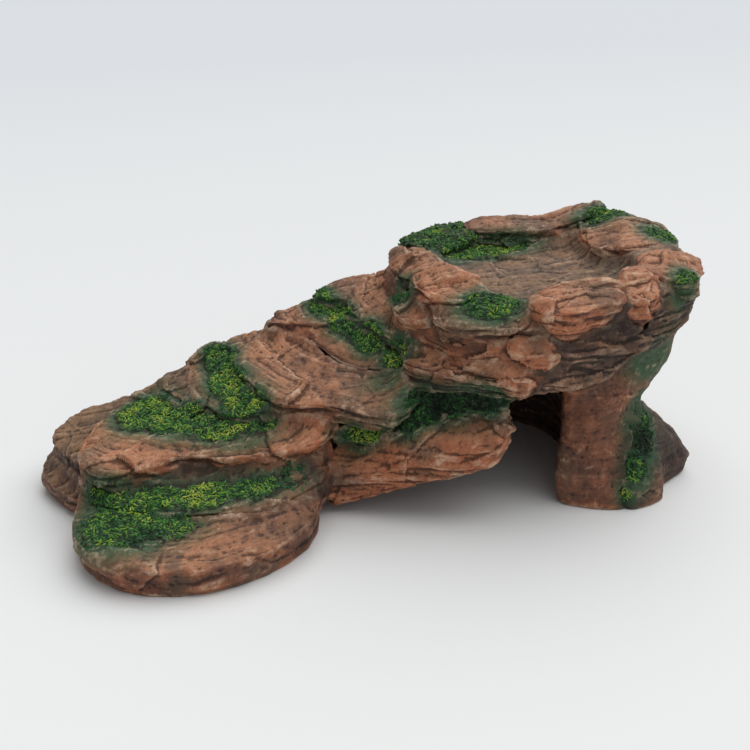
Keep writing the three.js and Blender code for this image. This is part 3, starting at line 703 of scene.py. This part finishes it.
def rock_paint(name, ground, warm, bright, shade, top_light_colour, pale, wash_and_shade_colour, spray):
    """Painted stone, with painted shade on sides, in joints and in shaded zones, and painted light
    on tops: each amount says where a layer lies, and the layers are laid at the end.
    """
    material, tree = blank_material(name)
    at = put(tree, "ShaderNodeTexCoord", out=3)
    sense = {key: put(tree, "ShaderNodeAttribute", out=2, attribute_name=key)
             for key in ("relief", "form", "joint", "moss", "halo", "warmth", "up", "painted_shade",
                         "bedding")}
    sweep = put(tree, "ShaderNodeAttribute", out=1, attribute_name="sweep")

    # clouds of the warm and the bright coat, with streaks along the sweeps or the bedding
    cloud = put(tree, "ShaderNodeTexNoise", {"Vector": at, "Scale": 1 / CLOUD_SIZE,
                "Detail": 4.0, "Roughness": 0.62})
    streaks = []
    for across, along in STREAKS:
        swept = put(tree, "ShaderNodeVectorMath", {0: sweep, 1: (1 / across, 1 / along, 0.1)},
                    operation="MULTIPLY")
        bedded = put(tree, "ShaderNodeVectorMath", {0: at, 1: [1 / (v * MM) for v in
                     (along, along, across)]}, operation="MULTIPLY")
        both = [put(tree, "ShaderNodeTexNoise", {"Vector": vector, "Scale": 1.0, "Detail": 2.0,
                    "Roughness": 0.55, "Distortion": 0.6}) for vector in (bedded, swept)]
        streaks.append(put(tree, "ShaderNodeMix", {0: sense["up"], 2: both[0], 3: both[1]}))
    mixed = put(tree, "ShaderNodeMath", {0: streaks[0], 1: 0.35, 2: cloud},
                operation="MULTIPLY_ADD")
    mixed = put(tree, "ShaderNodeMath", {0: mixed, 1: sense["warmth"]}, operation="ADD")
    warm_here = put(tree, "ShaderNodeMapRange", {"Value": mixed, "From Min": 0.5,
                    "From Max": 0.85}, **SMOOTH)
    thin = put(tree, "ShaderNodeMapRange", {"Value": streaks[1], "From Min": 0.35,
               "From Max": 0.7, "To Max": 0.55})
    thin = put(tree, "ShaderNodeMath", {0: thin, 1: warm_here}, operation="MULTIPLY")

    # painted shade: steep sides are painted darker in a purple-brown, except where they stand out
    stands_out = put(tree, "ShaderNodeMapRange", {"Value": sense["form"], "From Min": -0.2,
                     "From Max": 0.9}, **SMOOTH)
    painted_side_shade = put(tree, "ShaderNodeMath", {0: sense["up"], 1: stands_out}, operation="MAXIMUM")
    painted_side_shade = put(tree, "ShaderNodeMapRange", {"Value": painted_side_shade, "From Max": 0.7, "To Min": 0.6,
               "To Max": 0.0})
    # painted shade: warmer stones get less of it
    shade_unless_warm = put(tree, "ShaderNodeMapRange", {"Value": sense["warmth"], "From Max": 0.4,
                 "To Min": 1.0, "To Max": 0.1})
    painted_side_shade = put(tree, "ShaderNodeMath", {0: painted_side_shade, 1: shade_unless_warm}, operation="MULTIPLY")

    # painted light: tops are painted lighter than sides, in clouds
    painted_top_light = put(tree, "ShaderNodeMath", {0: sense["up"], 1: cloud}, operation="MULTIPLY")
    painted_top_light = put(tree, "ShaderNodeMapRange", {"Value": painted_top_light, "From Min": 0.2,
                    "From Max": 0.62, "To Max": 0.6}, **SMOOTH)

    # grey-brown clouds, where the spray gun touched the coat once more
    dull = put(tree, "ShaderNodeTexNoise", {"Vector": at, "Scale": 1 / DULL_SIZE,
               "Detail": 4.0})
    dull = put(tree, "ShaderNodeMapRange", {"Value": dull, "From Min": 0.48, "From Max": 0.66,
               "To Max": 0.7}, **SMOOTH)

    # green spray, densest beside the moss
    speck = put(tree, "ShaderNodeTexNoise", {"Vector": at, "Scale": 1 / SPRAY_SIZE,
                "Detail": 4.0, "Roughness": 0.7})
    sprayed = put(tree, "ShaderNodeMath", {0: speck, 1: 0.5, 2: sense["halo"]},
                  operation="MULTIPLY_ADD")
    sprayed = put(tree, "ShaderNodeMapRange", {"Value": sprayed, "From Min": 0.35,
                  "From Max": 1.15, "To Max": 0.9})
    greener = put(tree, "ShaderNodeMapRange", {"Value": sprayed, "From Min": 0.3,
                  "From Max": 0.8})
    green = put(tree, "ShaderNodeMix", {0: greener, 6: paint(spray), 7: DEEP_GREEN}, out=2,
                data_type="RGBA")

    # tan dry-brushing on fine ridges and along lips
    patchy = put(tree, "ShaderNodeTexNoise", {"Vector": at, "Scale": 1 / PATCH_SIZE,
                 "Detail": 4.0, "Roughness": 0.7})
    patchy = put(tree, "ShaderNodeMapRange", {"Value": patchy, "From Min": 0.45, "From Max": 0.7})
    ridge = put(tree, "ShaderNodeMapRange", {"Value": sense["relief"], "From Min": 0.015,
                "From Max": 0.14}, **SMOOTH)
    lip = put(tree, "ShaderNodeMapRange", {"Value": sense["form"], "From Min": 0.35,
              "From Max": 1.2}, **SMOOTH)
    ridge = put(tree, "ShaderNodeMath", {0: lip, 1: 0.5, 2: ridge}, operation="MULTIPLY_ADD")
    brushed = put(tree, "ShaderNodeMath", {0: ridge, 1: patchy}, operation="MULTIPLY",
                  use_clamp=True)
    brushed = put(tree, "ShaderNodeMath", {0: brushed, 1: 0.55}, operation="MULTIPLY")

    # flecks: the spray of the last coats, dark and pale, a millimetre or two across
    fleck = put(tree, "ShaderNodeTexNoise", {"Vector": at, "Scale": 1 / FLECK_SIZE,
                "Detail": 4.0, "Roughness": 0.7})
    dark_fleck = put(tree, "ShaderNodeMapRange", {"Value": fleck, "From Min": 0.36,
                     "From Max": 0.47, "To Min": 0.5, "To Max": 0.0})
    pale_fleck = put(tree, "ShaderNodeMapRange", {"Value": fleck, "From Min": 0.58,
                     "From Max": 0.72, "To Max": 0.25})

    # the dark wash in fine and broad hollows, the wash and painted shade in the joints between
    # stones, and painted shade where shade falls
    fine = put(tree, "ShaderNodeMapRange", {"Value": sense["relief"], "From Min": -0.13,
               "From Max": -0.015, "To Min": 0.8, "To Max": 0.0}, **SMOOTH)
    broad = put(tree, "ShaderNodeMapRange", {"Value": sense["form"], "From Min": -1.3,
                "From Max": -0.1, "To Min": 0.85, "To Max": 0.0}, **SMOOTH)
    lines = put(tree, "ShaderNodeMapRange", {"Value": streaks[1], "From Min": 0.28,
                "From Max": 0.40, "To Min": 0.2, "To Max": 0.0}, **SMOOTH)
    lines = put(tree, "ShaderNodeMath", {0: lines, 1: sense["bedding"]}, operation="MULTIPLY")
    dark = fine
    for more in (broad, lines, sense["joint"]):
        dark = put(tree, "ShaderNodeMath", {0: dark, 1: more}, operation="MAXIMUM")
    # painted shade: the shade zones darken the colour in clouds
    cloudy_painted_shade = put(tree, "ShaderNodeMath", {0: sense["painted_shade"], 1: cloud},
                      operation="MULTIPLY")
    dark = put(tree, "ShaderNodeMath", {0: cloudy_painted_shade, 1: 1.7, 2: dark},
               operation="MULTIPLY_ADD", use_clamp=True)
    dark = put(tree, "ShaderNodeMath", {0: dark, 1: 0.85}, operation="MULTIPLY")

    # green ground under the moss grains, black-green in its pits
    hollow = put(tree, "ShaderNodeMapRange", {"Value": sense["relief"], "From Min": -0.12,
                 "From Max": 0.1})
    under = put(tree, "ShaderNodeMix", {0: hollow, 6: UNDER_MOSS[0], 7: UNDER_MOSS[1]}, out=2,
                data_type="RGBA")

    # the coats, with the painted shade and the painted light among them, from the first to the
    # last
    colour = paint(ground)
    for amount, coat in (
            (warm_here, paint(warm)), (thin, paint(bright)), (painted_side_shade, paint(shade)),
            (painted_top_light, paint(top_light_colour)), (dull, DULL_BROWN), (sprayed, green),
            (brushed, paint(pale)), (dark_fleck, paint(shade)), (pale_fleck, paint(pale)),
            (dark, paint(wash_and_shade_colour)), (sense["moss"], under)):
        colour = put(tree, "ShaderNodeMix", {0: amount, 6: colour, 7: coat}, out=2,
                     data_type="RGBA")

    # what is too fine to model: grit, flecks of paint and scratches along the streaks
    grit = put(tree, "ShaderNodeTexNoise", {"Vector": at, "Scale": 1 / GRIT_SIZE,
               "Detail": 3.0, "Roughness": 0.65})
    satin = put(tree, "ShaderNodeMapRange", {"Value": grit, "To Min": 0.5, "To Max": 0.8})
    grooves = put(tree, "ShaderNodeMath", {0: streaks[1], 1: sense["bedding"]},
                  operation="MULTIPLY")
    rise = put(tree, "ShaderNodeMath", {0: grooves, 1: 1.3, 2: grit}, operation="MULTIPLY_ADD")
    rise = put(tree, "ShaderNodeMath", {0: fleck, 1: 1.2, 2: rise}, operation="MULTIPLY_ADD")
    bump = put(tree, "ShaderNodeBump", {"Height": rise, "Strength": 0.7,
               "Distance": BUMP_HEIGHT})
    finish_material(tree, {"Base Color": colour, "Roughness": satin,
                           "Specular IOR Level": 0.4}, bump)
    return material


# red sandstone look: warm coat over red-brown, as on the slabs and the front foot
RED_ROCK = rock_paint("painted resin, red sandstone", "#6f4a38", "#ad6544", "#cf8a5e", "#54382f",
                      "#bb8863", "#e9caab", "#271a14", "#5a5838")
# brown rock look: less of the warm coat, as in the cave and on the hidden sides
BROWN_ROCK = rock_paint("painted resin, brown rock", "#59423a", "#845a43", "#a37554", "#43302c",
                        "#987957", "#d3b294", "#211812", "#4c4f35")
FINISHES = {"red_rock": RED_ROCK, "brown_rock": BROWN_ROCK, "moss_rock": RED_ROCK}
print("rock paints:", RED_ROCK.name, "/", BROWN_ROCK.name)

# %% Paint the stones and tie them to the frame
BROWN = ("rear_foot_low", "rear_foot_high", "rear_wall", "end_wall", "pillar_foot", "ramp_core",
         "ramp_slab_2", "deck_base")
# warmth also lessens the painted shade on a stone's sides
WARMTH = {  # how much of the warm coat a stone got, against the others
    "ramp_slab_1": 0.12, "ramp_slab_2": -0.3, "ramp_slab_3": -0.1, "ramp_slab_4": 0.0,
    "rim_front_stone": 0.2, "rim_corner_stone": 0.15, "rim_right_stone": 0.1,
    "front_pillar": 0.06, "ramp_lip": 0.4, "rim_left_wedge": 0.25, "deck_strata_middle": 0.15,
}
for name, stone in stones.items():
    slot = "brown_rock" if name in BROWN else "red_rock"
    if name == "rim_back_moss_stone":
        slot = "moss_rock"
    stone.data.materials.append(FINISHES[slot])
    write_number(stone.data, "warmth", np.full(len(stone.data.vertices), WARMTH.get(name, 0.0)))
    write_number(stone.data, "bedding", np.full(len(stone.data.vertices), LAYERS.get(name, 1.0)))
    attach(stone, "root")
    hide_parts(name)
print("triangles in the stones:", sum(2 * len(s.data.polygons) for s in stones.values()))

# %% [markdown]
# ## Moss grains
# The moss on such a casting is modelled as short grains, each about two millimetres long, packed
# side by side with dark gaps. One grain is a stretched ball of twenty faces. Geometry
# Nodes scatters it over the mossy skin, turns every copy its own way, and gives it a number that
# the paint turns into a shade of green.

# %% Scatter the grains
GRAIN_LENGTH = 2.1 * MM
GRAIN_SLIMNESS = (1.0, 0.36, 0.32)
GRAIN_GAP = 0.78 * MM  # between the middles of two grains
GRAIN_DENSITY = 3.2 / MM ** 2  # before the gap thins them
GRAIN_TILT = 0.5  # radians, either way


def grain_group():
    """A Geometry Nodes group that scatters the grain it is given over a mossy skin."""
    tree = bpy.data.node_groups.new("moss grains", "GeometryNodeTree")
    for label, kind in (("Grain", "Geometry"), ("Skin", "Object"), ("Seed", "Int")):
        tree.interface.new_socket(label, in_out="INPUT", socket_type="NodeSocket" + kind)
    tree.interface.new_socket("Geometry", in_out="OUTPUT", socket_type="NodeSocketGeometry")
    inputs = tree.nodes.new("NodeGroupInput").outputs
    skin = put(tree, "GeometryNodeObjectInfo", {"Object": inputs["Skin"]}, out=4)
    moss = put(tree, "GeometryNodeInputNamedAttribute", {"Name": "moss"})
    gap = put(tree, "GeometryNodeInputNamedAttribute", {"Name": "gap"})
    open_air = put(tree, "ShaderNodeMapRange", {"Value": gap, "From Min": 0.3, "From Max": 0.9})
    thick = put(tree, "ShaderNodeMath", {0: moss, 1: open_air}, operation="MULTIPLY")
    spread = put(tree, "GeometryNodeDistributePointsOnFaces", {"Mesh": skin,
                 "Distance Min": GRAIN_GAP, "Density Max": GRAIN_DENSITY,
                 "Density Factor": thick, "Seed": inputs["Seed"]}, distribute_method="POISSON")
    lie = put(tree, "FunctionNodeAlignRotationToVector", {"Vector": spread.node.outputs["Normal"]},
              axis="Z")
    spin = put(tree, "FunctionNodeRandomValue", {"Min": (-GRAIN_TILT, -GRAIN_TILT, 0.0),
               "Max": (GRAIN_TILT, GRAIN_TILT, 6.3), "Seed": 7}, data_type="FLOAT_VECTOR")
    turned = put(tree, "FunctionNodeRotateRotation", {0: lie, 1: spin}, rotation_space="LOCAL")
    size = put(tree, "FunctionNodeRandomValue", {2: 0.6, 3: 1.25, "Seed": 8}, out=1)
    copies = put(tree, "GeometryNodeInstanceOnPoints", {"Points": spread,
                 "Instance": inputs["Grain"], "Rotation": turned, "Scale": size})
    shade = put(tree, "FunctionNodeRandomValue", {2: 0.0, 3: 1.0, "Seed": 9}, out=1)
    copies = put(tree, "GeometryNodeStoreNamedAttribute", {"Geometry": copies, "Name": "shade",
                 "Value": shade}, domain="INSTANCE")
    solid = put(tree, "GeometryNodeRealizeInstances", {"Geometry": copies})
    end = tree.nodes.new("NodeGroupOutput")
    tree.links.new(solid, end.inputs[0])
    return tree


grains = grain_group()
grain_sockets = {item.name: item.identifier for item in grains.interface.items_tree
                 if item.in_out == "INPUT"}


def moss_on(name, hosts, seed):
    """A new object of moss grains over several stones."""
    skin = joined_copy(hosts)
    bpy.ops.object.select_all(action="DESELECT")
    bpy.ops.mesh.primitive_ico_sphere_add(subdivisions=1, radius=GRAIN_LENGTH / 2)
    moss = bpy.context.object
    moss.name = moss.data.name = name
    bpy.ops.object.mode_set(mode="EDIT")
    bpy.ops.mesh.select_all(action="SELECT")
    bpy.ops.transform.resize(value=GRAIN_SLIMNESS)
    bpy.ops.object.mode_set(mode="OBJECT")
    scatter = moss.modifiers.new("scatter", "NODES")
    scatter.node_group = grains
    scatter[grain_sockets["Skin"]] = skin
    scatter[grain_sockets["Seed"]] = seed
    apply_all(moss)
    bpy.data.objects.remove(skin)
    return moss


MOSS_HOSTS = {
    "moss_front_foot": ["front_foot_rock", "front_foot_ledge", "rear_foot_high"],
    "moss_ramp": ["ramp_slab_1", "ramp_slab_2", "ramp_slab_3", "ramp_slab_4", "ramp_slab_5",
                  "ramp_slab_6", "ramp_slab_7"],
    "moss_lip": ["ramp_core", "ramp_lip", "deck_strata_bottom"],
    "moss_deck": ["deck_base", "rim_front_ledge", "rim_front_stone", "rim_right_stone",
                  "rim_back_right_stone", "rim_back_stone", "rim_back_moss_stone",
                  "rim_left_stone", "rim_left_chip", "rim_left_wedge"],
    "moss_pillar": ["front_pillar", "pillar_foot"],
}
mosses = {name: moss_on(name, hosts, seed)
          for seed, (name, hosts) in enumerate(MOSS_HOSTS.items(), start=1)}
for name, moss in mosses.items():
    print(name, "has", len(moss.data.polygons) // 20, "grains")

# %% [markdown]
# ## Moss paint
# Each grain gets its own green. A sponge with yellow-green touched only some of them, and a few
# were dabbed with yellow. The thin moss at a patch's edge keeps the green of the spray.

# %% Mix and use the moss paint
SPONGE_SIZE, MOSS_GRIT = 8 * MM, 0.5 * MM
DARKEST, YELLOWEST = paint("#0d1c0d"), paint("#a9b646")
GREENS_BETWEEN = ((0.28, "#214a24"), (0.52, "#427a31"), (0.78, "#789c39"))
RIM_GREEN, DAB_YELLOW = paint("#2a5a3a"), paint("#c8b428")


def moss_paint():
    """Sponged green paint on moss grains: dark, mid and yellow-green, by grain and by place."""
    material, tree = blank_material("painted resin, moss")
    at = put(tree, "ShaderNodeTexCoord", out=3)
    shade, moss, yellow = (put(tree, "ShaderNodeAttribute", out=2, attribute_name=key)
                           for key in ("shade", "moss", "yellow"))
    cloud = put(tree, "ShaderNodeTexNoise", {"Vector": at, "Scale": 1 / SPONGE_SIZE,
                "Detail": 3.0})
    tone = put(tree, "ShaderNodeMath", {0: shade, 1: 0.8, 2: 0.1}, operation="MULTIPLY_ADD")
    tone = put(tree, "ShaderNodeMath", {0: cloud, 1: 2.0, 2: tone}, operation="MULTIPLY_ADD")
    tone = put(tree, "ShaderNodeMath", {0: yellow, 1: 0.7, 2: tone}, operation="MULTIPLY_ADD")
    tone = put(tree, "ShaderNodeMapRange", {"Value": tone, "From Min": 0.9, "From Max": 2.3})
    ramp = put(tree, "ShaderNodeValToRGB", {"Fac": tone})
    stops = ramp.node.color_ramp.elements
    stops[0].color, stops[1].color = DARKEST, YELLOWEST
    for place, code in GREENS_BETWEEN:
        stops.new(place).color = paint(code)
    rim = put(tree, "ShaderNodeMapRange", {"Value": moss, "From Min": 0.35, "From Max": 1.0,
              "To Min": 0.85, "To Max": 0.0})
    sprayed = put(tree, "ShaderNodeMix", {0: rim, 6: ramp, 7: RIM_GREEN}, out=2,
                  data_type="RGBA")
    dab = put(tree, "ShaderNodeMath", {0: shade, 1: yellow}, operation="MULTIPLY")
    dab = put(tree, "ShaderNodeMapRange", {"Value": dab, "From Min": 0.72, "From Max": 0.8})
    colour = put(tree, "ShaderNodeMix", {0: dab, 6: sprayed, 7: DAB_YELLOW}, out=2,
                 data_type="RGBA")
    grit = put(tree, "ShaderNodeTexNoise", {"Vector": at, "Scale": 1 / MOSS_GRIT})
    bump = put(tree, "ShaderNodeBump", {"Height": grit, "Strength": 0.4, "Distance": 0.2 * MM})
    finish_material(tree, {"Base Color": colour, "Roughness": 0.72,
                           "Specular IOR Level": 0.3}, bump)
    return material


MOSS = moss_paint()
for moss in mosses.values():
    moss.data.materials.clear()
    moss.data.materials.append(MOSS)
    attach(moss, "root")
print("moss pieces:", len(mosses))
